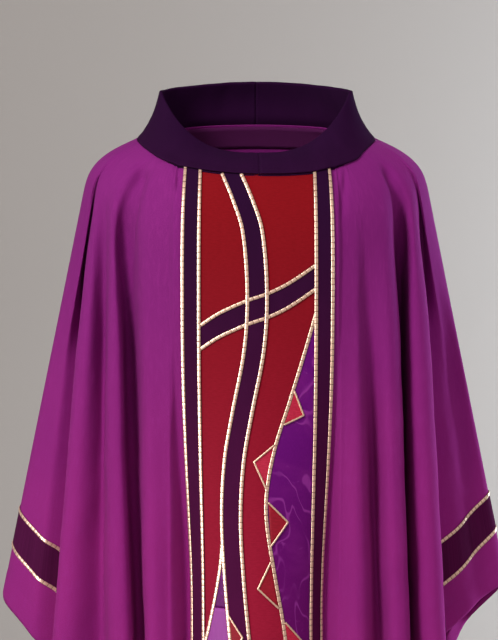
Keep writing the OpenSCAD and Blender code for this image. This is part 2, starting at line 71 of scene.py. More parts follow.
# Valleys and ridges by turns: distance at the shoulders and at the wrists, sinking, onset and
# the run over which the fold grows.
FOLDS = {
    (True, -1): [(112, 111, 14, 200, 400), (138, 130, 4, 200, 400),
                 (172, 151, 52, 20, 260), (186, 173, 0, 30, 300),
                 (196, 203, 40, 20, 260), (207, 253, 0, 30, 260),
                 (219, 257, 62, 35, 140), (228, 300, 30, 35, 300)],
    (True, 1): [(110, 108, 22, 200, 430), (126, 130, 8, 200, 430),
                (137, 159, 42, 60, 430), (165, 184, 0, 30, 430),
                (186, 189, 86, 15, 240), (203, 234, 0, 20, 300),
                (216, 247, 68, 25, 200), (226, 298, 54, 30, 300)],
    (False, -1): [(112, 110, 30, 250, 430), (136, 134, 6, 250, 430),
                  (160, 158, 62, 60, 430), (182, 186, 0, 60, 430),
                  (197, 216, 44, 50, 430), (209, 244, 0, 50, 430),
                  (219, 262, 52, 60, 430), (226, 300, 0, 60, 430)],
    (False, 1): [(112, 108, 30, 250, 430), (134, 130, 6, 250, 430),
                 (158, 154, 60, 60, 430), (180, 180, 0, 60, 430),
                 (196, 210, 48, 50, 430), (209, 238, 0, 50, 430),
                 (220, 256, 58, 60, 430), (226, 300, 0, 60, 430)],
}


# --- small helpers
def lerp(a, b, t):
    return a + (b - a)*t


def ease(t):
    t = np.clip(t, 0.0, 1.0)
    return t*t*(3 - 2*t)


def unit(v):
    return v/np.maximum(np.linalg.norm(v, axis=-1, keepdims=True), 1e-9)


def hermite(a, b, run_a, run_b, t):
    return ((2*t**3 - 3*t**2 + 1)*a + (t**3 - 2*t**2 + t)*run_a
            + (3*t**2 - 2*t**3)*b + (t**3 - t**2)*run_b)


def follow(path, x):
    """Smooth curve through a few (place, value) points, at the places x."""
    p = np.array(path, float)
    i = np.clip(np.searchsorted(p[:, 0], x, side="right") - 1, 0, len(p) - 2)
    at = np.arange(len(p))
    before, after = np.maximum(at - 1, 0), np.minimum(at + 1, len(p) - 1)
    slope = (p[after, 1] - p[before, 1])/(p[after, 0] - p[before, 0])
    w = p[i + 1, 0] - p[i, 0]
    return hermite(p[i, 1], p[i + 1, 1], slope[i]*w, slope[i + 1]*w, (x - p[i, 0])/w)


def noise(x, y, seed):
    """Smooth value noise from -1 to 1, with one lattice cell per unit."""
    size = 256
    lattice = np.random.default_rng(seed).uniform(-1, 1, (size, size))
    i, j = np.floor(x).astype(int), np.floor(y).astype(int)
    s, t = ease(x - i), ease(y - j)
    a = lerp(lattice[i % size, j % size], lattice[(i + 1) % size, j % size], s)
    b = lerp(lattice[i % size, (j + 1) % size], lattice[(i + 1) % size, (j + 1) % size], s)
    return lerp(a, b, t)


# --- the drape
class Quarter:
    """A quarter of the hanging cloth, from the centre line to the shoulder fold."""

    def __init__(self, front, side):
        self.front, self.side = front, side
        self.folds = np.array(FOLDS[front, side], float)
        self.turned = np.linspace(-1, 9, 3001)      # column coordinate: -1 is the centre line
        x, y = self.slice_at(self.turned, np.full(3001, MEASURE_DEPTH))
        self.across = np.concatenate([[0], np.cumsum(np.hypot(np.diff(x), np.diff(y)))])
        self.width = self.across[-1]

    def reach(self, d):
        """How far the cloth stands out at the centre line."""
        return 160 + 0.045*d if self.front else 118 + 0.10*d

    def turn(self, k, d):
        """Place, heading and run of turning point k at each depth."""
        side_x, reach = SHOULDER_HALF_W + SPREAD*d, self.reach(d)
        fold = self.folds[np.clip(k - 1, 0, 7)]
        x = lerp(fold[..., 0], fold[..., 1], (d - SHOULDER_DEPTH)/(WRIST_LEVEL - SHOULDER_DEPTH))
        x = np.minimum(x, 0.93*side_x)
        grown = ease((d - fold[..., 3])/fold[..., 4])
        sunk = fold[..., 2]*grown*(1 + 0.25*np.maximum(0, d - 500)/WRIST_LEVEL)
        around = np.arcsin(x/side_x)
        y = reach*np.cos(around) - sunk
        angle = np.arctan2(reach*np.sin(around), side_x*np.cos(around))
        angle = angle*(1 - np.where(k == 8, 0, 0.45)*grown)    # the last fold runs straight on
        run = 1 + grown*np.where(k % 2 == 1, -0.35, 0.25)
        r = self.centre_radius(d)
        a = CENTRE_W/r
        first, last = k <= 0, k >= 9
        x = np.where(first, r*np.sin(a), np.where(last, side_x, x))
        y = np.where(first, reach - r*(1 - np.cos(a)), np.where(last, 0, y))
        angle = np.where(first, a, np.where(last, math.pi/2, angle))
        run = np.where(first, 1, np.where(last, 1.15, run))
        return x, y, angle, run

    def centre_radius(self, d):
        """Radius of the smooth arc at the centre line, tighter further down."""
        tight = 1/100 if self.front else 1/160
        return 1/lerp(1/500, tight, ease((d - 180)/430))

    def slice_at(self, c, d):
        """Plan-view place of a column at a depth, between its two turning points."""
        r = self.centre_radius(d)
        a = (c + 1)*CENTRE_W/r
        centre_x, centre_y = r*np.sin(a), self.reach(d) - r*(1 - np.cos(a))
        k = np.clip(np.floor(c), 0, 8).astype(int)
        ax, ay, aa, ar = self.turn(k, d)
        bx, by, ba, br = self.turn(k + 1, d)
        chord, t = np.hypot(bx - ax, by - ay), c - k
        x = hermite(ax, bx, chord*ar*np.cos(aa), chord*br*np.cos(ba), t)
        y = hermite(ay, by, -chord*ar*np.sin(aa), -chord*br*np.sin(ba), t)
        return np.where(c < 0, centre_x, x), np.where(c < 0, centre_y, y)

    def neck_angle(self, s):
        """Angle round the neck seam that a distance across the cloth comes from."""
        full = 226.0 if self.front else 200.0
        n = np.where(s <= CENTRE_W, s, lerp(CENTRE_W, full, (s - CENTRE_W)/(self.width - CENTRE_W)))
        return n/NECK_HALF_W + (math.pi/2 - full/NECK_HALF_W)*(n/full)**3

    def top(self, s):
        """Depth of the neck seam."""
        level = np.maximum(np.cos(self.neck_angle(s)), 0)
        return NECK_DIP*level**1.5 if self.front else -NECK_RISE*level

    def room(self, s):
        """Cloth left between a place and the shoulder fold."""
        return self.width - s

    def hem(self, s):
        """Depth of the hem, from the wrist's corner to the full length."""
        q = 1 - s/self.width
        wrist = WRIST_DEPTH[self.side]
        full = (FRONT_LENGTH if self.front else BACK_LENGTH) - wrist
        steep = HEM_STEEP[self.front]
        return wrist + full*(steep*q + (3 - 2*steep)*q*q + (steep - 2)*q**3)

    def point(self, s, d):
        """The smooth drape in space: from the neck seam it eases into the slices."""
        s = np.clip(s, 0, self.width)
        a = self.neck_angle(s)
        seam_y = NECK_FRONT if self.front else NECK_BACK
        over = lerp(80.0, 200.0 if self.front else 150.0, np.cos(a)**2)
        t = np.clip((d - self.top(s))/over, 0, 1)
        blend = 1 - (1 - t)**4
        c = np.interp(s, self.across, self.turned)
        x, y = self.slice_at(c, d)
        x, y = lerp(NECK_HALF_W*np.sin(a), x, blend), lerp(seam_y*np.cos(a), y, blend)
        return np.stack([self.side*x, -y if self.front else y, -d], -1)


QUARTERS = {key: Quarter(*key) for key in FOLDS}


def by_side(front, u, method, *more):
    """What one of Quarter's methods gives on each place's own side."""
    left, right = (getattr(QUARTERS[front, side], method)(np.abs(u), *more) for side in (-1, 1))
    return np.where((u < 0)[..., None] if left.ndim > u.ndim else u < 0, left, right)


def cloth_base(front, u, d):
    return by_side(front, u, "point", d)


def top_of(front, u):
    return by_side(front, u, "top")


def hem_of(front, u):
    return by_side(front, u, "hem")


# Creases that run down from the collar: places (depth, distance), half width and depth.
CREASES = [
    ([(20, -283), (45, -227), (79, -219), (114, -227), (140, -229), (205, -226)], 24.0, 11.0),
    ([(26, -118), (44, -110), (66, -103)], 5.5, 2.2),
    ([(46, -163), (78, -155), (112, -149)], 11.0, 2.0),
    ([(28, 162), (50, 148), (72, 137), (105, 131)], 9.0, 3.0),
    ([(24, 380), (47, 361), (76, 362), (104, 364), (182, 371)], 26.0, 8.0),
]


def crumple(front, u, d):
    """Small unevenness of hanging wool, in millimetres off the smooth drape."""
    seed = 11 if front else 31
    free = 0.25 + 0.75*ease((np.abs(u) - 90)/40)          # the orphrey's layers are stiffer
    free = free*ease((by_side(front, u, "room") + 2)/45)  # the front and back meet at the fold
    low = ease((d - 60)/260)
    soft = 2.2*noise(u/62 + 40, d/420 + 3, seed) + 1.1*noise(u/31 + 60, d/190 + 5, seed + 1)
    drag = 0.8*noise((u + 0.8*d)/48 + 80, (d - 0.4*np.abs(u))/150 + 9, seed + 2)
    fine = 0.22*noise(u/11 + 100, d/17 + 20, seed + 3)
    below = d - top_of(front, u)
    gather = np.exp(-((np.abs(u) - 107)/9)**2) + 0.5*np.exp(-((np.abs(u) - 128)/8)**2)
    pleat = -2.6*gather*np.exp(-(below/55)**2)
    if front:
        for path, width, deep in CREASES:
            ends = path[0][0], path[-1][0]
            run = ease((d - ends[0])/25)*ease((ends[1] - d)/(0.5*(ends[1] - ends[0])))
            middle = follow(path, np.clip(d, *ends))
            pleat = pleat - deep*run*np.exp(-((u - middle)/width)**2)
    return low*free*(soft + drag) + fine*free + pleat


def normals(front, u, d):
    step = 2.0
    across = cloth_base(front, u + step, d) - cloth_base(front, u - step, d)
    down = cloth_base(front, u, d + step) - cloth_base(front, u, d - step)
    n = np.cross(down, across) if front else np.cross(across, down)
    return unit(n)


def on_cloth(front, u, d, off):
    """Points off the face of the cloth by a given amount."""
    u, d = np.broadcast_arrays(np.asarray(u, float), np.asarray(d, float))
    lift = crumple(front, u, d) + off
    return cloth_base(front, u, d) + normals(front, u, d)*lift[..., None]


# --- meshes from grids
def mesh_object(name, points, faces, uv=None, marks=None):
    """A mesh from points in millimetres; uv is one pair per point, marks a material per face."""
    mesh = bpy.data.meshes.new(name)
    mesh.from_pydata((np.asarray(points)*MM).tolist(), [], faces)
    if uv is not None:
        corner = np.empty(len(mesh.loops), np.int32)
        mesh.loops.foreach_get("vertex_index", corner)
        layer = mesh.uv_layers.new(name="cloth")
        layer.data.foreach_set("uv", (np.asarray(uv, np.float32)*MM)[corner].ravel())
    if marks is not None:
        mesh.polygons.foreach_set("material_index", np.asarray(marks, np.int32))
    mesh.polygons.foreach_set("use_smooth", np.ones(len(mesh.polygons), bool))
    mesh.update()
    obj = bpy.data.objects.new(name, mesh)
    bpy.context.scene.collection.objects.link(obj)
    return obj


def shell_parts(outer, inner):
    """Points and faces of the closed skin between two grids seen with their rows running down."""
    h, w = outer.shape[:2]
    n = h*w
    at = np.arange(n).reshape(h, w)
    a, b, c, d = at[:-1, :-1].ravel(), at[:-1, 1:].ravel(), at[1:, 1:].ravel(), at[1:, :-1].ravel()
    faces = [np.stack([a, d, c, b], 1), np.stack([a, b, c, d], 1) + n]
    rims = [(at[0, :-1], at[0, 1:]), (at[-1, 1:], at[-1, :-1]),
            (at[1:, 0], at[:-1, 0]), (at[:-1, -1], at[1:, -1])]
    faces += [np.stack([p, q, q + n, p + n], 1) for p, q in rims]
    return np.concatenate([outer.reshape(-1, 3), inner.reshape(-1, 3)]), np.concatenate(faces)


def shell(name, outer, inner, u, d):
    points, faces = shell_parts(outer, inner)
    flat = np.stack([np.asarray(u, float).ravel(), -np.asarray(d, float).ravel()], 1)
    return mesh_object(name, points, faces.tolist(), np.concatenate([flat, flat]))


def layer(name, front, u, d, low, high):
    """A layer of the cloth at a grid of places whose rows run down and columns to the right."""
    u, d = np.broadcast_arrays(u, d)
    if not front:
        u, d = u[:, ::-1], d[:, ::-1]
    return shell(name, on_cloth(front, u, d, high), on_cloth(front, u, d, low), u, d)


# --- materials
def srgb(r, g, b):
    """Linear colour of an sRGB colour given from 0 to 255."""
    return tuple(((c/255 + 0.055)/1.055)**2.4 if c > 10 else c/255/12.92 for c in (r, g, b))


class Shader:
    """A material's node tree, built by short calls."""

    def __init__(self, name, colour, rough, sheen=0.0, metal=0.0, specular=0.5):
        self.material = bpy.data.materials.new(name)
        self.material.use_nodes = True
        self.nodes = self.material.node_tree.nodes
        self.links = self.material.node_tree.links
        self.skin = self.nodes["Principled BSDF"]
        self.set("Base Color", (*colour, 1))
        self.set("Roughness", rough)
        self.set("Metallic", metal)
        self.set("Specular IOR Level", specular)
        self.set("Sheen Weight", sheen)
        self.set("Sheen Roughness", 0.45)
        self.heights = []

    def set(self, socket, value):
        self.skin.inputs[socket].default_value = value

    def link(self, source, socket):
        self.links.new(source, self.skin.inputs[socket])

    def node(self, kind, **settings):
        n = self.nodes.new("ShaderNode" + kind)
        for key, value in settings.items():
            if key in n.inputs:
                n.inputs[key].default_value = value
            else:
                setattr(n, key, value)
        return n

    def place(self, scale=(1, 1, 1)):
        """Coordinates in metres of the flat cloth, scaled."""
        mapping = self.node("Mapping", Scale=scale)
        self.links.new(self.node("UVMap", uv_map="cloth").outputs["UV"], mapping.inputs["Vector"])
        return mapping.outputs["Vector"]

    def math(self, operation, a, b=None):
        n = self.node("Math", operation=operation)
        for socket, value in zip(n.inputs, (a, b)):
            if value is None:
                continue
            if isinstance(value, (int, float)):
                socket.default_value = value
            else:
                self.links.new(value, socket)
        return n.outputs[0]

    def noise(self, scale, detail=2.0, rough=0.5, distortion=0.0, at=None):
        n = self.node("TexNoise", Scale=scale, Detail=detail, Roughness=rough,
                      Distortion=distortion)
        self.links.new(at if at is not None else self.place(), n.inputs["Vector"])
        return n.outputs["Fac"]

    def threads(self, pitch, direction):
        """Ridges across the cloth, one for each pitch in metres. direction is X, Y or DIAGONAL."""
        n = self.node("TexWave", wave_type="BANDS", bands_direction=direction,
                      wave_profile="SIN", Scale=math.pi/10/pitch)
        self.links.new(self.place(), n.inputs["Vector"])
        return n.outputs["Fac"]

    def ramp(self, value, low, high):
        """0 at low and 1 at high, eased at both ends; low may be the larger."""
        n = self.node("MapRange", interpolation_type="SMOOTHSTEP")
        self.links.new(value, n.inputs["Value"])
        n.inputs["From Min"].default_value, n.inputs["From Max"].default_value = low, high
        return n.outputs["Result"]

    def mix(self, share, a, b):
        n = self.node("Mix", data_type="RGBA")
        for socket, value in ((n.inputs[0], share), (n.inputs[6], a), (n.inputs[7], b)):
            if isinstance(value, tuple):
                socket.default_value = (*value, 1)
            elif isinstance(value, (int, float)):
                socket.default_value = value
            else:
                self.links.new(value, socket)
        return n.outputs[2]

    def raised(self, height, distance, strength):
        """Adds a bump: a height from 0 to 1, its real height in metres and its strength."""
        self.heights.append((height, distance, strength))

    def done(self):
        last = None
        for height, distance, strength in self.heights:
            bump = self.node("Bump", Distance=distance, Strength=strength)
            self.links.new(height, bump.inputs["Height"])
            if last is not None:
                self.links.new(last, bump.inputs["Normal"])
            last = bump.outputs["Normal"]
        if last is not None:
            self.link(last, "Normal")
        return self.material


def height_on(s, low, high):
    """Share of the way up the cloth between two heights in metres below the neck."""
    split = s.node("SeparateXYZ")
    s.links.new(s.place(), split.inputs[0])
    return s.ramp(split.outputs["Y"], low, high)


def wool():
    """Violet twill with a short nap, a little redder towards the hem."""
    s = Shader("wool_twill", srgb(140, 34, 124), 0.88, sheen=0.08, specular=0.05)
    s.set("Sheen Tint", (*srgb(236, 130, 214), 1))
    up = height_on(s, -0.62, -0.1)
    nap = s.noise(900, 4, 0.62)
    slub = s.noise(1, 3, 0.55, at=s.place((260, 55, 1)))
    bolt = s.noise(4.5, 2)
    light = s.mix(up, srgb(171, 47, 144), srgb(149, 43, 134))
    dark = s.mix(up, srgb(151, 34, 121), srgb(129, 30, 118))
    tone = s.mix(s.ramp(nap, 0.3, 0.7), dark, light)
    tone = s.mix(s.math("MULTIPLY", s.ramp(slub, 0.45, 0.75), 0.3), tone, srgb(166, 52, 148))
    tone = s.mix(s.math("MULTIPLY", s.ramp(bolt, 0.35, 0.7), 0.25), tone, srgb(128, 27, 120))
    s.link(tone, "Base Color")
    twill = s.threads(0.0011, "DIAGONAL")
    weft = s.threads(0.0009, "Y")
    s.raised(s.math("ADD", s.math("MULTIPLY", twill, 0.6), s.math("MULTIPLY", weft, 0.4)),
             0.00016, 0.55)
    s.raised(nap, 0.0005, 0.35)
    return s.done()


def velvet():
    """Deep purple pile that turns redder down the garment."""
    s = Shader("purple_velvet", srgb(44, 12, 50), 0.92, sheen=0.03, specular=0.03)
    s.set("Sheen Tint", (*srgb(160, 60, 160), 1))
    s.set("Sheen Roughness", 0.35)
    up = height_on(s, -0.62, 0.02)
    pile = s.noise(1500, 3, 0.6)
    brushed = s.noise(1, 3, 0.6, at=s.place((38, 14, 1)))
    dark = s.mix(up, srgb(72, 14, 56), srgb(34, 8, 40))
    light = s.mix(up, srgb(94, 22, 74), srgb(48, 13, 54))
    tone = s.mix(s.ramp(pile, 0.3, 0.7), dark, light)
    tone = s.mix(s.math("MULTIPLY", s.ramp(brushed, 0.4, 0.75), 0.4), tone, light)
    s.link(tone, "Base Color")
    s.raised(pile, 0.0005, 0.4)
    return s.done()


def ribbed(name, dark, light, pitch):
    """Plain cloth with fine cross ribs."""
    s = Shader(name, light, 0.65, sheen=0.04, specular=0.15)
    cloud = s.noise(1, 3, 0.55, at=s.place((150, 700, 1)))
    broad = s.noise(9, 2)
    tone = s.mix(s.ramp(cloud, 0.3, 0.7), dark, light)
    tone = s.mix(s.math("MULTIPLY", s.ramp(broad, 0.4, 0.7), 0.3), tone, dark)
    s.link(tone, "Base Color")
    s.raised(s.threads(pitch, "Y"), 0.00018, 0.6)
    s.raised(s.noise(1100, 2), 0.0003, 0.3)
    return s.done()


def red_cloth():
    """Crimson at the foot, warmer at the neck."""
    s = Shader("red_cloth", srgb(150, 24, 36), 0.85, sheen=0.02, specular=0.05)
    up = height_on(s, -0.70, -0.05)
    fine = s.noise(1, 3, 0.6, at=s.place((160, 620, 1)))
    light = s.mix(up, srgb(176, 30, 64), srgb(147, 16, 27))
    dark = s.mix(up, srgb(165, 25, 57), srgb(138, 13, 23))
    s.link(s.mix(s.ramp(fine, 0.3, 0.7), dark, light), "Base Color")
    s.raised(s.threads(0.0012, "Y"), 0.00018, 0.6)
    s.raised(s.noise(1100, 2), 0.0003, 0.3)
    return s.done()


def brocade():
    """Violet silk with lighter figured tendrils, woven in a duller thread than its ground."""
    s = Shader("violet_brocade", srgb(106, 14, 110), 0.55, sheen=0.02, specular=0.08)
    curls = s.noise(15, 1.2, 0.5, distortion=1.7, at=s.place((1, 0.55, 1)))
    stems = s.ramp(s.math("ABSOLUTE", s.math("SUBTRACT", curls, 0.5)), 0.030, 0.006)
    leaves = s.ramp(s.noise(36, 2, 0.6, distortion=1.6), 0.64, 0.78)
    broken = s.ramp(s.noise(17, 1), 0.30, 0.50)
    figure = s.math("MULTIPLY", s.math("MAXIMUM", stems, leaves), broken)
    cloud = s.ramp(s.noise(14, 3, 0.6, distortion=0.8), 0.48, 0.72)
    thread = s.noise(1, 2, at=s.place((900, 300, 1)))
    up = height_on(s, -0.70, -0.30)
    ground = s.mix(thread, s.mix(up, srgb(100, 7, 98), srgb(98, 7, 116)),
                   s.mix(up, srgb(124, 13, 116), srgb(124, 13, 138)))
    ground = s.mix(s.math("MULTIPLY", cloud, 0.35), ground, srgb(142, 34, 140))
    s.link(s.mix(s.math("MULTIPLY", figure, 0.6), ground, srgb(170, 60, 172)), "Base Color")
    s.link(s.math("ADD", s.math("MULTIPLY", figure, 0.25), 0.42), "Roughness")
    s.raised(figure, 0.0004, 0.5)
    s.raised(s.threads(0.0007, "X"), 0.0001, 0.5)
    return s.done()


def satin():
    s = Shader("violet_satin", srgb(158, 62, 160), 0.5, sheen=0.02, specular=0.12)
    thread = s.noise(1, 3, at=s.place((1100, 60, 1)))
    s.link(s.mix(thread, srgb(158, 56, 158), srgb(180, 76, 180)), "Base Color")
    s.raised(thread, 0.0002, 0.5)
    return s.done()


def gold_braid():
    """Flat woven braid of pale metal thread."""
    s = Shader("gold_braid", srgb(240, 214, 190), 0.34, metal=0.5, specular=0.6)
    fleck = s.noise(1300, 2, 0.6)
    s.link(s.mix(s.ramp(fleck, 0.3, 0.75), srgb(226, 170, 140), srgb(255, 231, 211)), "Base Color")
    s.link(s.math("ADD", s.math("MULTIPLY", fleck, 0.2), 0.24), "Roughness")
    s.raised(fleck, 0.0003, 0.4)
    return s.done()


def gold_cord():
    s = Shader("gold_cord", srgb(232, 190, 160), 0.42, metal=0.55)
    fleck = s.noise(1500, 2, 0.6)
    s.link(s.mix(s.ramp(fleck, 0.3, 0.7), srgb(214, 164, 132), srgb(250, 220, 198)), "Base Color")
    return s.done()


def thread():
    s = Shader("couching_thread", srgb(150, 108, 78), 0.8)
    s.link(s.mix(s.noise(2500, 2), srgb(110, 66, 46), srgb(156, 108, 78)), "Base Color")
    return s.done()


def tape():
    s = Shader("woven_tape", srgb(92, 30, 84), 0.85, specular=0.05)
    s.link(s.mix(s.noise(1200, 2), srgb(80, 24, 74), srgb(104, 38, 96)), "Base Color")
    s.raised(s.threads(0.0011, "X"), 0.0002, 0.6)
    s.raised(s.threads(0.0011, "Y"), 0.0002, 0.6)
    return s.done()


MATERIALS = {
    "violet_wool": wool(),
    "purple_velvet": velvet(),
    "red_cloth": red_cloth(),
    "violet_brocade": brocade(),
    "violet_satin": satin(),
    "rose_cloth": ribbed("rose_cloth", srgb(192, 32, 64), srgb(216, 46, 82), 0.0013),
    "crimson_cloth": ribbed("crimson_cloth", srgb(154, 14, 38), srgb(176, 22, 50), 0.0013),
    "gold_braid": gold_braid(),
    "gold_cord": gold_cord(),
    "lining_tape": tape(),
}
STITCH = thread()


def finish_piece(obj, slot, *nodes):
    """Rides on the one body, stands for its CAD nodes and takes its slot's material."""
    obj.data.materials.append(MATERIALS[slot])
    if obj.get("stitched"):
        obj.data.materials.append(STITCH)
    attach(obj, "root")
    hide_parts(*nodes)
    return obj


# --- body
CLOTH_T, LAYER_T, LAYER_GAP = 1.8, 0.8, 0.3     # the cloth, a layer inside it and their gap
BODY_ROWS, PER_FOLD, PER_CENTRE = 230, 15, 22   # the fine grid: rows, and columns by stretch
HEM_TURN, TAPE_HALF_W = 34.0, 7.0


def body_places(front, rows=BODY_ROWS):
    """Every place of the body's fine grid: columns from side to side, rows from neck to hem."""
    halves = []
    for side in (-1, 1):
        q = QUARTERS[front, side]
        c = np.concatenate([np.linspace(-1, 0, PER_CENTRE, endpoint=False),
                            np.linspace(0, 9, 9*PER_FOLD + 1)])
        halves.append(side*np.interp(c, q.turned, q.across))
    u = np.concatenate([halves[0][:0:-1], halves[1]])
    v = (np.linspace(0, 1, rows)**1.5)[:, None]
    return np.broadcast_to(u, (rows, len(u))), lerp(top_of(front, u), hem_of(front, u), v)


def panel(name, front):
    u, d = body_places(front)
    low = hem_of(front, u) - d
    # The hem is turned up once: a hair thicker below its stitching, with a rounded edge.
    fold = 0.55*ease((HEM_TURN - low)/3) - 0.45*np.exp(-((low - HEM_TURN + 1)/1.6)**2)
    edge = ease(low/1.6)
    if not front:
        u, d, fold, edge = u[:, ::-1], d[:, ::-1], fold[:, ::-1], edge[:, ::-1]
    outer = on_cloth(front, u, d, fold*edge - 0.7*(1 - edge))
    inner = on_cloth(front, u, d, -CLOTH_T + 0.7*(1 - edge))
    return shell(name, outer, inner, u, d)


front_panel = finish_piece(panel("front_panel_cloth", True), "violet_wool", "front_panel")
back_panel = finish_piece(panel("back_panel_cloth", False), "violet_wool", "back_panel")


def inside_strip(name, front, u, d):
    return layer(name, front, u, d, -CLOTH_T - LAYER_GAP - LAYER_T, -CLOTH_T - LAYER_GAP)


def facings(front):
    where = "front" if front else "back"
    u = body_places(front, 2)[0][0]
    inset = np.minimum(QUARTERS[front, 1].width, QUARTERS[front, -1].width)
    hem_u = np.clip(u, -inset + 12, inset - 12)
    rows = np.linspace(0, 1, 7)[:, None]
    hem = inside_strip(f"hem_facing_{where}_cloth", front, hem_u, hem_of(front, hem_u)
                       - HEM_TURN + 32*rows)
    neck_u = np.clip(u, -inset + 8, inset - 8)
    neck = inside_strip(f"neck_facing_{where}_cloth", front, neck_u, top_of(front, neck_u)
                        + 2 + 30*rows)
    return (finish_piece(hem, "violet_wool", f"hem_facing_{where}"),
            finish_piece(neck, "lining_tape", f"neck_facing_{where}"))


def shoulder_tape(side):
    """Stay tape inside the shoulder fold, half on the front and half on the back."""
    d = np.linspace(12, WRIST_DEPTH[side] - 14, 90)[:, None]
    front, back = QUARTERS[True, side], QUARTERS[False, side]
    steps = np.linspace(TAPE_HALF_W, 0, 4)
    grids = []
    for off in (-CLOTH_T - LAYER_GAP, -CLOTH_T - LAYER_GAP - LAYER_T):
        half = on_cloth(True, side*(front.width - steps), d, off)
        other = on_cloth(False, side*(back.width - steps[-2::-1]), d, off)
        grid = np.concatenate([half, other], 1)
        grids.append(grid if side > 0 else grid[:, ::-1])
    flat = np.broadcast_to(np.linspace(-TAPE_HALF_W, TAPE_HALF_W, 7), (90, 7))
    node = f"shoulder_tape_{WHERE[side]}"
    obj = shell(node + "_cloth", grids[0], grids[1], flat, np.broadcast_to(d, (90, 7)))
    return finish_piece(obj, "lining_tape", node)


hem_facing_front, neck_facing_front = facings(True)
hem_facing_back, neck_facing_back = facings(False)
tapes = [shoulder_tape(side) for side in (-1, 1)]


# --- collar
COLLAR_ROLL, VELVET_T = 2.6, 1.7         # radius of the rolled edge, and the velvet's thickness
# How far the collar's lower edge hangs below its seam, by the angle from the centre line with the
# left negative, and how far it stands off the cloth, by the angle alone.
COLLAR_DROP = [(-1.6, 0), (-1.3, 0.4), (-1.05, 1.2), (-0.86, 3.2), (-0.66, 5.6), (-0.4, 4.2),
               (0, 3.0), (0.3, 5.5), (0.5, 7.8), (0.66, 7.4), (0.86, 6.6), (1.05, 1.8), (1.3, 0),
               (1.6, 0)]
COLLAR_OFF = [(0, 5.4), (0.66, 5.4), (0.8, 3.6), (1.0, 1.6), (1.3, 1.0), (1.6, 1.0)]
COLLAR_SEAM_TURN = 0.026        # the front seam lies this angle to the right
COLLAR_ROUND, COLLAR_TALL = 425.0, 70.0     # flat length of a half and its height with the roll


def neck_seam(a):
    ahead = np.cos(a) > 0
    return np.stack([NECK_HALF_W*np.sin(a), -np.where(ahead, NECK_FRONT, NECK_BACK)*np.cos(a),
                     np.where(ahead, -NECK_DIP*np.abs(np.cos(a))**1.5, -NECK_RISE*np.cos(a))], -1)


def collar_edge(a):
    ahead, c = np.cos(a) > 0, np.cos(a)
    z = np.where(ahead, lerp(-COLLAR_FRONT_DIP, COLLAR_SIDE_H, np.abs(np.sin(a))**3),
                 lerp(COLLAR_SIDE_H, COLLAR_BACK_H, c*c))
    return np.stack([COLLAR_HALF_W*np.sin(a),
                     -np.where(ahead, COLLAR_FRONT, COLLAR_BEHIND)*c, z], -1)


def collar_face(a, t):
    """Outer face of the collar band at an angle round the neck, from its seam to its edge."""
    out = unit(np.stack([np.sin(a), -0.9*np.cos(a), np.full_like(a, 0.45)], -1))
    swell = (lerp(6, -4, np.sin(a)**2)*np.sin(math.pi*np.clip(t, 0, 1))
             + 1.4*noise(a*2.4 + 20, t*1.6 + 4, 51)*t + 0.5*noise(a*7 + 50, t*2.2 + 8, 52))
    seam_dent = -lerp(0.6, 1.3, np.cos(a) > 0)*np.exp(-(np.sin(a)*NECK_HALF_W/2.2)**2)
    band = lerp(neck_seam(a), collar_edge(a), t[..., None])
    lip = np.exp(-(t/0.10)**2)[..., None]*(collar_hem(a) - neck_seam(a))
    return band + (swell + seam_dent)[..., None]*out + lip


def collar_hem(a):
    """Where the collar's lower edge rests on the body: lowest and thickest beside the orphrey."""
    n = np.abs((a + math.pi) % (2*math.pi) - math.pi)
    m = np.minimum(n, math.pi - n)
    points = np.zeros(a.shape + (3,))
    for (front, side), q in QUARTERS.items():
        s = np.linspace(0, q.width, 400)
        u = side*np.interp(m, q.neck_angle(s), s)
        place = on_cloth(front, u, top_of(front, u) + follow(COLLAR_DROP, np.sign(np.sin(a))*m),
                         follow(COLLAR_OFF, m))
        here = ((n < math.pi/2) == front) & ((np.sin(a) < 0) == (side < 0))
        points = np.where(here[..., None], place, points)
    return points


def collar_frame(a, t):
    """Outward and upward directions on the collar's outer face."""
    step = 0.01
    up = collar_face(a, t) - collar_face(a, t - step)
    round_neck = collar_face(a + step, t) - collar_face(a - step, t)
    return unit(np.cross(round_neck, up)), unit(up)


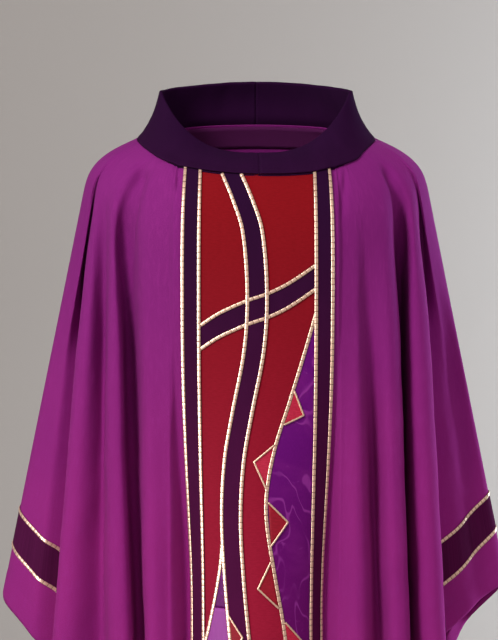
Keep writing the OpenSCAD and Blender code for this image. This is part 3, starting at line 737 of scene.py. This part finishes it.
def collar_half(side, outer_piece):
    """One half of the outer or inner collar, each ending at the top of the rolled edge."""
    rows, roll_rows, cols = 26, 7, 130
    a = side*np.linspace(0, math.pi, cols)
    a = a + COLLAR_SEAM_TURN*np.cos(a/2)**2
    t = np.linspace(0.005, 1, rows)
    aa, tt = np.meshgrid(a, t)
    face = collar_face(aa, tt)
    out, up = collar_frame(aa, tt)
    # The roll's directions and middle line come from the band's upper edge.
    top_out, top_up, top = out[-1], up[-1], face[-1]
    centre = top - COLLAR_ROLL*top_out
    turns = np.linspace(0, math.pi/2, roll_rows)[1:]

    def rolled(angle, radius):
        return centre + radius*(math.cos(angle)*top_out + math.sin(angle)*top_up)

    if outer_piece:
        outer = np.concatenate([face] + [rolled(x, COLLAR_ROLL)[None] for x in turns])
        inner = np.concatenate([face - VELVET_T*out]
                               + [rolled(x, COLLAR_ROLL - VELVET_T)[None] for x in turns])
    else:
        back = face - 2*COLLAR_ROLL*out
        inner = np.concatenate([back] + [rolled(math.pi - x, COLLAR_ROLL)[None] for x in turns])
        outer = np.concatenate([back + VELVET_T*out]
                               + [rolled(math.pi - x, COLLAR_ROLL - VELVET_T)[None]
                                  for x in turns])
    outer, inner = outer[::-1], inner[::-1]
    along = np.broadcast_to(side*np.linspace(0, COLLAR_ROUND, cols), outer.shape[:2])
    height = np.broadcast_to(np.linspace(0, COLLAR_TALL, len(outer))[:, None], outer.shape[:2])
    if side < 0:
        outer, inner, along = outer[:, ::-1], inner[:, ::-1], along[:, ::-1]
    node = f"collar_{'outer' if outer_piece else 'inner'}_{WHERE[side]}"
    hidden = [f"collar_interfacing_{WHERE[side]}"] if outer_piece else []
    return finish_piece(shell(node + "_cloth", outer, inner, along, height), "purple_velvet",
                        node, *hidden)


collars = [collar_half(side, outer) for outer in (True, False) for side in (-1, 1)]


# --- orphrey
# The paths are (depth, distance) or (distance, depth), as in the part.
UPRIGHT = [(30, -36), (70, -18), (110, -5), (190, 1), (260, -3), (340, -18), (400, -28),
           (470, -32), (540, -29), (640, -20), (760, -6), (900, 4), (1020, -2), (1150, -14)]
CROSSBAR = [(-98, 262), (-70, 243), (-47, 228), (-12, 212), (14, 203), (41, 190), (76, 167),
            (99, 150)]
BROCADE = [(205, 78), (270, 59), (325, 42), (385, 23), (440, 13), (480, 13), (540, 22),
           (635, 38), (740, 46), (850, 40), (960, 28), (1060, 24), (1150, 30)]
WEDGE = [(500, -44), (530, -46), (570, -53), (620, -65), (650, -74), (700, -84)]
SATIN_TOP = 590.0
THORN_GRID = 9                  # rows and columns of a thorn's cloth
# Upper end of the base, point, lower end of the base, layer, slot.
THORNS = [
    ((48, 312), (60, 343), (35, 354), 2, "rose_cloth"),
    ((22, 380), (-3, 401), (12, 435), 2, "rose_cloth"),
    ((15, 453), (40, 479), (18, 509), 2, "crimson_cloth"),
    ((18, 529), (2, 563), (28, 589), 2, "crimson_cloth"),
    ((37, 608), (62, 636), (40, 662), 2, "rose_cloth"),
    ((-36, 597), (-17, 626), (-33, 655), 3, "crimson_cloth"),
]
# Where the fields begin, and where the wedge's braid meets the side band.
BROCADE_TOP, WEDGE_TOP, WEDGE_MEETS_BAND = 214.0, 508.0, 645.0
# Lift of the first layer off the cloth, from one layer to the next, and a layer's thickness.
FIRST_LAYER, PITCH, SKIN = 0.25, 0.62, 0.5
HALF_CROSS = CROSS_BAND_W/2
STITCH_PITCH = 7.5
# Places across a braid as shares of its half width, and its height at each.
BRAID_SHARE = np.array([-1, -0.86, -0.45, 0, 0.45, 0.86, 1])
BRAID_CROWN = np.array([0.1, 0.62, 0.86, 0.9, 0.86, 0.62, 0.1])


def orphrey_edge(front, side):
    return (ORPHREY_SHIFT if front else 0) + side*ORPHREY_HALF_W


def side_inner(front, side):
    return orphrey_edge(front, side) - side*SIDE_BAND_W


def level(k):
    low = FIRST_LAYER + k*PITCH
    return low, low + SKIN


def sewn(node, slot, front, u, d, k):
    """A piece of cloth sewn on in layer k."""
    low, high = level(k)
    return finish_piece(layer(node + "_cloth", front, u, d, low, high), slot, node)


def full_length(front, left, right, cols):
    """Places of a strip that runs from the neck seam to the hem."""
    u = np.linspace(left, right, cols)
    v = (np.linspace(0, 1, BODY_ROWS)**1.5)[:, None]
    return np.broadcast_to(u, (BODY_ROWS, cols)), lerp(top_of(front, u) + 0.5,
                                                       hem_of(front, u) - 0.5, v)


def between(edge_a, edge_b, d_top, d_low, cols, step=5.0):
    """Grid down the cloth between two edges, each the distance at every depth."""
    d = np.linspace(d_top, d_low, int((d_low - d_top)/step) + 2)[:, None]
    t = np.linspace(0, 1, cols)
    return lerp(edge_a(d), edge_b(d), t), np.broadcast_to(d, (len(d), cols))


def braid_mesh(name, put, mirrored, u, d, k):
    """Braid along a line of places, run evenly: ribbed, crowned and held by couching stitches.

    put(u, d, off) gives the points off the cloth; mirrored is true where u grows to the left.
    """
    seg = np.hypot(np.diff(u), np.diff(d))
    s = np.concatenate([[0], np.cumsum(seg)])
    run = np.linspace(0, s[-1], int(s[-1]/1.25) + 1)
    uu, dd = np.interp(run, s, u), np.interp(run, s, d)
    du, dv = np.gradient(uu), np.gradient(dd)
    size = np.hypot(du, dv)
    nu, nd = dv/size, -du/size
    low = level(k)[0]
    near = np.abs((run % STITCH_PITCH) - STITCH_PITCH/2)[:, None]
    half = BRAID_W/2*(1 - 0.07*np.exp(-(near/0.9)**2))
    pu = uu[:, None] + nu[:, None]*BRAID_SHARE*half
    pd = dd[:, None] + nd[:, None]*BRAID_SHARE*half
    rib = 0.06*np.cos(2*math.pi*run/2.5)[:, None]*(np.abs(BRAID_SHARE) < 0.95)
    lift = low + BRAID_CROWN*(1 - 0.3*np.exp(-(near/0.9)**2)) + rib
    grids = [g[:, ::-1] if mirrored else g for g in (pu, pd, lift)]
    top, under = put(*grids), put(*grids[:2], np.full_like(lift, low))
    points, faces = shell_parts(top, under)
    flat = np.stack([np.broadcast_to(BRAID_SHARE*BRAID_W/2, pu.shape).ravel(),
                     np.broadcast_to(run[:, None], pu.shape).ravel()], 1)
    middles = np.arange(STITCH_PITCH/2, run[-1], STITCH_PITCH)
    line = [np.interp(middles, run, values) for values in (uu, dd, nu, nd)]
    points, faces, flat, marks = add_bits(points, faces, np.concatenate([flat, flat]),
                                          np.zeros(len(faces), int), stitches(put, *line, low))
    obj = mesh_object(name, points, faces.tolist(), flat, marks)
    obj["stitched"] = True
    return obj


def stitches(put, mu, md, au, ad, low):
    """Humped threads right across a braid, one at each of the places along it."""
    share = np.array([-1.06, -0.9, -0.5, 0, 0.5, 0.9, 1.06])
    a, b = np.meshgrid(share*BRAID_W/2*0.95, [-0.4, -0.2, 0.2, 0.4])
    crown = np.interp(share, BRAID_SHARE, BRAID_CROWN)*0.72
    hump = crown + 0.26*(1 - (b/0.6)**2)*(1 - 0.5*share**6)
    mu, md, au, ad = (v[:, None, None] for v in (mu, md, au, ad))
    pu, pd = mu + au*a + ad*b, md + ad*a - au*b
    return (put(pu, pd, low + np.broadcast_to(hump, pu.shape)),
            put(pu, pd, np.full(pu.shape, low + 0.02)))


def add_bits(points, faces, flat, marks, bits):
    """Adds one small closed shell for each bit, with the second material."""
    top, under = bits
    all_points, all_faces, start = [points], [faces], len(points)
    for t, w in zip(top, under):
        p, f = shell_parts(t, w)
        middle = p.mean(0)
        a, b, c = p[f[0][0]], p[f[0][1]], p[f[0][2]]
        if np.dot(np.cross(b - a, c - a), a - middle) < 0:
            f = f[:, ::-1]
        all_points.append(p)
        all_faces.append(f + start)
        start += len(p)
    points = np.concatenate(all_points)
    faces = np.concatenate(all_faces)
    flat = np.concatenate([flat, np.zeros((len(points) - len(flat), 2))])
    marks = np.concatenate([marks, np.ones(len(faces) - len(marks), int)])
    return points, faces, flat, marks


def braid_down(node, front, path, d_top, d_low, k):
    d = np.linspace(d_top, d_low, int(d_low - d_top))
    obj = braid_mesh(node + "_cloth", partial(on_cloth, front), not front, path(d), d, k)
    return finish_piece(obj, "gold_braid", node)


def edge_braid(front, side, inner):
    kind, prefix = "inner" if inner else "outer", "side" if front else "back"
    at = (side_inner(front, side) + side*BRAID_W/2 if inner
          else orphrey_edge(front, side) - side*BRAID_W/2)
    place = np.array([at])
    return braid_down(f"{prefix}_braid_{WHERE[side]}_{kind}", front, lambda d: np.full_like(d, at),
                      top_of(front, place)[0] + 4, hem_of(front, place)[0] - 1, 4)


def side_band(front, side):
    edges = sorted((orphrey_edge(front, side), side_inner(front, side)))
    prefix = "side" if front else "back"
    return sewn(f"{prefix}_band_{WHERE[side]}", "purple_velvet", front,
                *full_length(front, *edges, 7), 2)


def ground(front):
    edges = orphrey_edge(front, -1), orphrey_edge(front, 1)
    return sewn("orphrey_ground" if front else "back_orphrey_ground", "red_cloth", front,
                *full_length(front, *edges, 49), 0)


def upright(d):
    return follow(UPRIGHT, d)


def cross_pieces():
    """The leaning upright and the crossbar, each a band between two braids."""
    top, low = NECK_DIP + 1, FRONT_LENGTH - 2
    u, d = between(lambda x: upright(x) - HALF_CROSS, lambda x: upright(x) + HALF_CROSS,
                   top, low, 9, 4.0)
    made = [sewn("upright_band", "purple_velvet", True, u, d, 2)]
    for side in (-1, 1):
        shift = side*(HALF_CROSS - BRAID_W/2)
        made.append(braid_down(f"upright_braid_{WHERE[side]}", True,
                               lambda x, s=shift: upright(x) + s, top + 2, low, 4))
    ends = side_inner(True, -1) - 3, side_inner(True, 1) + 3
    across = np.linspace(*ends, 60)
    half = CROSS_BAND_W*0.6
    rows = np.linspace(-half, half, 9)[:, None]
    u = np.broadcast_to(across, (9, 60))
    made.append(sewn("crossbar_band", "purple_velvet", True, u, follow(CROSSBAR, u) + rows, 1))
    line = np.linspace(*ends, 140)
    for where, side in (("upper", -1), ("lower", 1)):
        node = f"crossbar_braid_{where}"
        d = follow(CROSSBAR, line) + side*(half - BRAID_W*0.55)
        obj = braid_mesh(node + "_cloth", partial(on_cloth, True), False, line, d, 3)
        made.append(finish_piece(obj, "gold_braid", node))
    return made


def fields():
    """The brocade on the right, and the brocade and satin that open on the left.

    Each field runs a few millimetres in under the band beside it.
    """
    low = FRONT_LENGTH - 2
    brocade_edge, wedge_edge = partial(follow, BROCADE), partial(follow, WEDGE)

    def under_side_band(d):
        return np.full_like(d, side_inner(True, 1) + 5)

    def under_upright(d):
        return upright(d) - HALF_CROSS + 2

    def wedge_or_band(d):
        return np.maximum(wedge_edge(np.minimum(d, WEDGE[-1][0])), side_inner(True, -1) - 3)

    def field(node, slot, *spread):
        return sewn(node, slot, True, *between(*spread), 1)

    return [field("brocade_panel", "violet_brocade", brocade_edge, under_side_band,
                  BROCADE_TOP, low, 17),
            braid_down("brocade_braid", True, brocade_edge, BROCADE_TOP - 2, low, 3),
            field("brocade_wedge", "violet_brocade", wedge_edge, under_upright,
                  WEDGE_TOP, SATIN_TOP, 6, 3.0),
            field("satin_wedge", "violet_satin", wedge_or_band, under_upright,
                  SATIN_TOP + 0.4, low, 12, 4.0),
            braid_down("wedge_braid", True, wedge_edge, WEDGE_TOP, WEDGE_MEETS_BAND, 3)]


def thorn_cloth(i, thorn):
    """A triangle of cloth, its rows running down from its upper edge to its lower one."""
    top, tip, low, k, slot = [np.array(t, float) for t in thorn[:3]] + list(thorn[3:])
    j = np.linspace(0.02, 1, THORN_GRID)
    if tip[0] > top[0]:
        j = j[::-1]
    upper = tip + (top - tip)*j[:, None]
    lower = tip + (low - tip)*j[:, None]
    grid = lerp(upper[None], lower[None], np.linspace(0, 1, THORN_GRID)[:, None, None])
    return sewn(f"thorn_{i + 1}", slot, True, grid[..., 0], grid[..., 1], k)


def cord_tube(front, u, d, width, low, twist=1.4):
    """Round twisted cord laid along a line of places; gives its points and faces."""
    seg = np.hypot(np.diff(u), np.diff(d))
    s = np.concatenate([[0], np.cumsum(seg)])
    run = np.linspace(0, s[-1], max(4, int(s[-1]/0.7)))
    uu, dd = np.interp(run, s, u), np.interp(run, s, d)
    size = np.hypot(np.gradient(uu), np.gradient(dd))
    nu, nd = np.gradient(dd)/size, -np.gradient(uu)/size
    sides = 8
    angle = np.linspace(0, 2*math.pi, sides, endpoint=False)
    radius = width/2*(1 + 0.13*np.cos(2*(angle[None] - run[:, None]/width*twist)))
    aside = radius*np.cos(angle)
    lift = low + width*0.36 + 0.72*radius*np.sin(angle)
    points = on_cloth(front, uu[:, None] + nu[:, None]*aside, dd[:, None] + nd[:, None]*aside, lift)
    ring = np.arange(len(run)*sides).reshape(-1, sides)
    a, b = ring[:-1], ring[1:]
    walls = np.stack([a, np.roll(a, -1, 1), np.roll(b, -1, 1), b], -1).reshape(-1, 4)
    return points.reshape(-1, 3), walls.tolist() + [ring[0][::-1].tolist(), ring[-1].tolist()]


def thorn_cords():
    points, faces, start = [], [], 0
    for top, tip, low, k, _ in THORNS:
        line = np.array([top, tip, low], float)
        p, f = cord_tube(True, line[:, 0], line[:, 1], CORD_W, level(k + 1)[0])
        points.append(p)
        faces += [[i + start for i in face] for face in f]
        start += len(p)
    obj = mesh_object("thorn_cords_cloth", np.concatenate(points), faces)
    return finish_piece(obj, "gold_cord", "thorn_cords")


orphrey = [ground(True), *cross_pieces(), *fields(),
           *[side_band(True, side) for side in (-1, 1)],
           *[edge_braid(True, side, inner) for side in (-1, 1) for inner in (False, True)],
           *[thorn_cloth(i, t) for i, t in enumerate(THORNS)], thorn_cords()]
back_orphrey = [ground(False), *[side_band(False, side) for side in (-1, 1)],
                *[edge_braid(False, side, inner) for side in (-1, 1) for inner in (False, True)]]


# --- sleeve bands
SLEEVE_REACH = 460.0            # no sleeve band runs further from the shoulder fold than this
# By side: depth of the band's upper edge at the shoulder fold, its fall per length, the rounding
# at the fold, and the distance from there on which it falls ever more steeply.
SLEEVE_COURSE = {-1: (491, 0.53, 30, 105), 1: (470, 0.57, 12, 122)}
# Where the front end of each braid stops: the right one is tucked into the outermost fold.
BRAID_STOP = {-1: SLEEVE_REACH, 1: 131.0}


def sleeve_line(side, w, share):
    """Depth of a line round the sleeve; w is from the shoulder fold, negative to the back."""
    upper, fall, bend, plain = SLEEVE_COURSE[side]
    return (upper + share*SLEEVE_BAND_W + fall*(1 + 0.16*share)*(np.hypot(w, bend) - bend)
            + 0.03*np.maximum(0, np.abs(w) - plain)**2)


def sleeve_hem(side, w):
    front, back = QUARTERS[True, side], QUARTERS[False, side]
    return np.where(w >= 0, front.hem(front.width - np.abs(w)), back.hem(back.width - np.abs(w)))


def sleeve_place(side, w, d, off):
    front, back = QUARTERS[True, side], QUARTERS[False, side]
    ahead = on_cloth(True, side*(front.width - np.abs(w)), d, off)
    behind = on_cloth(False, side*(back.width - np.abs(w)), d, off)
    return np.where((w >= 0)[..., None], ahead, behind)


def sleeve_run(side, share):
    """Even places along a sleeve line from where it leaves the back hem to the front hem."""
    w = np.linspace(-SLEEVE_REACH, SLEEVE_REACH, 1200)
    inside = sleeve_line(side, w, share) < sleeve_hem(side, w) - 1.5
    return w[inside].min(), w[inside].max()


def sleeve_strip(name, side, share_a, share_b, low, high, cols):
    start, end = sleeve_run(side, share_a)
    w = np.linspace(start, end, cols)
    if side > 0:
        w = w[::-1]
    rows = np.linspace(0, 1, 9)[:, None]
    ww = np.broadcast_to(w, (9, cols))
    d = np.minimum(sleeve_line(side, ww, lerp(share_a, share_b, rows)),
                   sleeve_hem(side, ww) - 1.2 + 0.8*(rows - 1))
    return shell(name, sleeve_place(side, ww, d, high), sleeve_place(side, ww, d, low),
                 ww, sleeve_line(side, ww, 0))


def sleeve_pieces(side):
    low, high = level(0)
    band = sleeve_strip(f"sleeve_band_{WHERE[side]}_cloth", side, 0, 1, low, high, 260)
    made = [finish_piece(band, "purple_velvet", f"sleeve_band_{WHERE[side]}")]
    put = partial(sleeve_place, side)
    edge = BRAID_W/2/SLEEVE_BAND_W
    for kind, share in (("upper", edge), ("lower", 1 - edge)):
        node = f"sleeve_braid_{WHERE[side]}_{kind}"
        start, end = sleeve_run(side, share + edge)
        w = np.linspace(start + 2, min(end - 2, BRAID_STOP[side]), 600)
        strip = braid_mesh(node + "_cloth", put, side > 0, w, sleeve_line(side, w, share), 1)
        made.append(finish_piece(strip, "gold_braid", node))
    return made


sleeves = [piece for side in (-1, 1) for piece in sleeve_pieces(side)]


# --- room, light and camera
def paper():
    """Matt paper that is clear from behind, so the garment's back can be looked at too."""
    s = Shader("backdrop_paper", srgb(167, 159, 153), 0.9)
    behind = s.node("NewGeometry").outputs["Backfacing"]
    s.link(s.math("SUBTRACT", 1.0, behind), "Alpha")
    return s.done()


def studio():
    """A pale floor that sweeps up into a backdrop behind the garment."""
    floor_z, wall_y, bend, half = -1.34, 2.3, 0.9, 6.0
    profile = [(-7.0, floor_z), (wall_y - bend, floor_z)]
    profile += [(wall_y - bend + bend*math.sin(a), floor_z + bend*(1 - math.cos(a)))
                for a in np.linspace(0.1, math.pi/2, 14)]
    profile.append((wall_y, 4.5))
    points = np.array([(x, y, z) for y, z in profile for x in (-half, half)])/MM
    faces = [[2*i, 2*i + 1, 2*i + 3, 2*i + 2] for i in range(len(profile) - 1)]
    sweep = mesh_object("studio_sweep", points, faces)
    sweep.data.materials.append(paper())


CARD_AWAY = 3.2                 # metres from the garment to the cards
MIDDLE = (0, 0, -0.35)          # what the lights point at


def area_light(name, place, size, power, colour, aim=MIDDLE):
    data = bpy.data.lights.new(name, "AREA")
    data.shape = "DISK"
    data.size, data.energy, data.color = size, power, colour
    obj = bpy.data.objects.new(name, data)
    obj.location = place
    obj.rotation_euler = (Vector(aim) - Vector(place)).to_track_quat("-Z", "Y").to_euler()
    bpy.context.scene.collection.objects.link(obj)
    return obj


def lights():
    area_light("key", (-1.9, -2.6, 2.0), 1.1, 94, (1.0, 0.985, 0.965))
    area_light("fill", (2.6, -2.4, 0.6), 2.0, 10, (1.0, 0.95, 0.88))
    area_light("backdrop_wash", (2.4, 1.25, -0.4), 1.2, 94, (0.74, 0.87, 1.0), (0.4, 2.3, -0.6))
    # Cards that only the metal braid picks up: degrees to the left of straight ahead, height, power.
    for i, (bearing, height, power) in enumerate([(38, 0.35, 36), (64, 0.0, 60), (50, -0.85, 84)]):
        turn = math.radians(bearing)
        place = (-CARD_AWAY*math.sin(turn), -CARD_AWAY*math.cos(turn), height)
        card = area_light(f"gleam_{i + 1}", place, 1.3, power, (1.0, 0.98, 0.96))
        card.visible_diffuse = False
    world = bpy.data.worlds.new("studio_air")
    bpy.context.scene.world = world
    world.use_nodes = True
    air = world.node_tree.nodes["Background"]
    air.inputs["Color"].default_value = (0.82, 0.79, 0.775, 1)
    air.inputs["Strength"].default_value = 0.5


def camera():
    """Level with the collar, a little above the neck, looking slightly down."""
    data = bpy.data.cameras.new("camera")
    obj = bpy.data.objects.new("camera", data)
    aim, eye = Vector((-0.0093, 0, -0.240)), Vector((-0.0093, -3.18, 0.110))
    obj.location = eye
    obj.rotation_euler = (aim - eye).to_track_quat("-Z", "Y").to_euler()
    data.sensor_width, data.lens = 36, 135
    bpy.context.scene.collection.objects.link(obj)
    bpy.context.scene.camera = obj


studio()
lights()
camera()
bpy.context.scene.view_settings.view_transform = "Standard"
